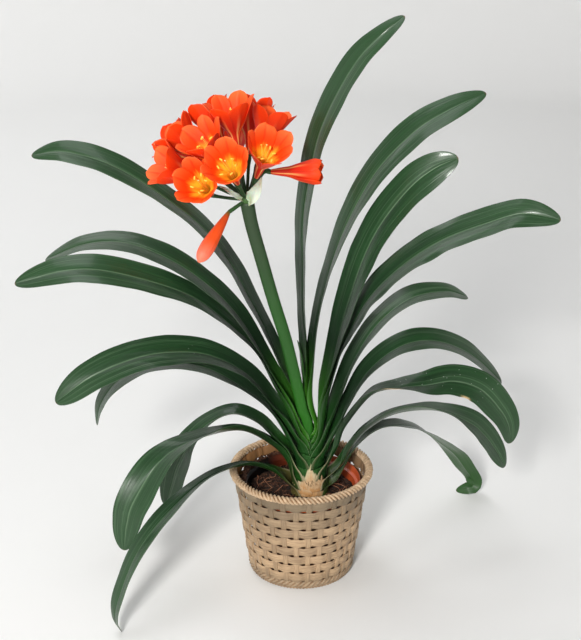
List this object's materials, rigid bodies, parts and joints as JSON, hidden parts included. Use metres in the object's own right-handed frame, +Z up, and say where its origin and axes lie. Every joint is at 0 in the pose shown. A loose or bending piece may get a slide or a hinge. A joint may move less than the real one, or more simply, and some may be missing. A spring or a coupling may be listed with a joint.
{
  "type": "potted clivia",
  "caption": "Flowering clivia with a fan of arching strap leaves and an umbel of orange trumpet blooms, in a nursery pot inside a woven cover basket.",
  "frame": {"origin": "centre of the basket's flat underside, on the surface it stands on", "axes": "+Z up, +X to the viewer's right along the leaf fan, +Y away from the viewer"},
  "size_m": [0.5875, 0.3416, 0.6547],
  "materials": {
    "straw_weave": "flat woven natural fibre, matte",
    "straw_rope": "twisted straw cord, matte",
    "nursery_plastic": "satin moulded plastic",
    "bark_soil": "loose composted bark with pale roots",
    "dry_trunk": "dry, papery leaf bases",
    "leaf_green": "waxy strap leaf with fine parallel veins",
    "scape_green": "smooth fleshy stalk",
    "petal_orange": "soft petal, orange with a yellow throat",
    "anther_yellow": "powdery pollen on pale filaments",
    "bud_orange": "closed bud, green at its foot and orange at its tip",
    "bract_paper": "thin dry spathe"
  },
  "bodies": {
    "root": {"basket_wall": "straw_weave", "basket_rope_rim": "straw_rope", "nursery_pot": "nursery_plastic", "soil": "bark_soil", "trunk": "dry_trunk", "leaf_young": "leaf_green", "leaf_right_1": "leaf_green", "leaf_right_2": "leaf_green", "leaf_right_3": "leaf_green", "leaf_right_4": "leaf_green", "leaf_right_5": "leaf_green", "leaf_right_6": "leaf_green", "leaf_right_7": "leaf_green", "leaf_right_8": "leaf_green", "leaf_right_9": "leaf_green", "leaf_left_1": "leaf_green", "leaf_left_2": "leaf_green", "leaf_left_3": "leaf_green", "leaf_left_4": "leaf_green", "leaf_left_5": "leaf_green", "leaf_left_6": "leaf_green", "leaf_left_7": "leaf_green", "leaf_left_8": "leaf_green", "scape_and_pedicels": "scape_green", "bloom_1": "petal_orange", "bloom_2": "petal_orange", "bloom_3": "petal_orange", "bloom_4": "petal_orange", "bloom_5": "petal_orange", "bloom_6": "petal_orange", "bloom_7": "petal_orange", "bloom_8": "petal_orange", "bloom_9": "petal_orange", "bloom_10": "petal_orange", "bloom_11": "petal_orange", "bloom_12": "petal_orange", "bloom_13": "petal_orange", "bloom_1_stamens": "anther_yellow", "bloom_2_stamens": "anther_yellow", "bloom_3_stamens": "anther_yellow", "bloom_4_stamens": "anther_yellow", "bloom_5_stamens": "anther_yellow", "bloom_6_stamens": "anther_yellow", "bloom_7_stamens": "anther_yellow", "bloom_8_stamens": "anther_yellow", "bloom_9_stamens": "anther_yellow", "bloom_10_stamens": "anther_yellow", "bloom_11_stamens": "anther_yellow", "bloom_12_stamens": "anther_yellow", "bud_closed": "bud_orange", "bract_right": "bract_paper", "bract_left": "bract_paper"}
  },
  "joints": []
}
